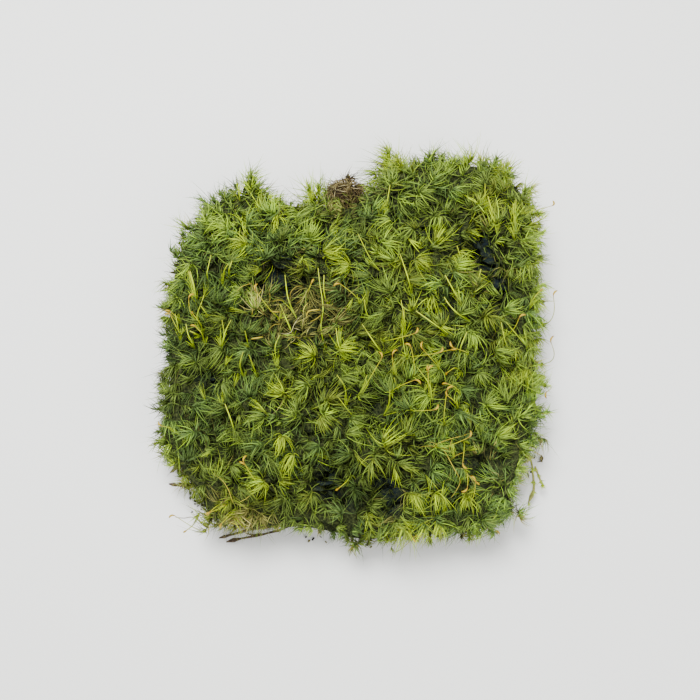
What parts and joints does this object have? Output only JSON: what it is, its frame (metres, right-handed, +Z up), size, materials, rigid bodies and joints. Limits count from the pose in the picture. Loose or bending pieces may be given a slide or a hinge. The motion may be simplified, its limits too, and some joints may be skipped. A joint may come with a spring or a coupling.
{
  "type": "moss clump",
  "caption": "Cushion of broom moss, star-shaped leafy shoots with thin seed stalks and curved capsules, on a flat-cut mat of thatch and soil.",
  "frame": {"origin": "middle of the flat cut underneath", "axes": "+Z up out of the clump, +X to the right and +Y away from the viewer of the picture"},
  "size_m": [0.158, 0.1612, 0.0576],
  "materials": {
    "moss_leaves": "matte",
    "thatch_and_soil": "matte",
    "dead_thatch": "matte",
    "seed_stalks": "satin",
    "dead_stems": "matte",
    "stray_shoot": "matte"
  },
  "bodies": {
    "root": {"moss_cushion": "moss_leaves", "soil_mat": "thatch_and_soil", "dead_thatch_wad": "dead_thatch", "seed_stalk_01": "seed_stalks", "seed_stalk_02": "seed_stalks", "seed_stalk_03": "seed_stalks", "seed_stalk_04": "seed_stalks", "seed_stalk_05": "seed_stalks", "seed_stalk_06": "seed_stalks", "seed_stalk_07": "seed_stalks", "seed_stalk_08": "seed_stalks", "seed_stalk_09": "seed_stalks", "seed_stalk_10": "seed_stalks", "seed_stalk_11": "seed_stalks", "seed_stalk_12": "seed_stalks", "seed_stalk_13": "seed_stalks", "seed_stalk_14": "seed_stalks", "seed_stalk_15": "seed_stalks", "seed_stalk_16": "seed_stalks", "seed_stalk_17": "seed_stalks", "seed_stalk_18": "seed_stalks", "seed_stalk_19": "seed_stalks", "seed_stalk_20": "seed_stalks", "seed_stalk_21": "seed_stalks", "seed_stalk_22": "seed_stalks", "seed_stalk_23": "seed_stalks", "seed_stalk_24": "seed_stalks", "seed_stalk_25": "seed_stalks", "seed_stalk_26": "seed_stalks", "seed_stalk_27": "seed_stalks", "seed_stalk_28": "seed_stalks", "twig": "dead_stems", "dead_blade": "dead_stems", "dead_stem_1": "dead_stems", "dead_stem_2": "dead_stems", "stray_shoot": "stray_shoot", "stray_shoot_fork": "stray_shoot"}
  },
  "joints": []
}
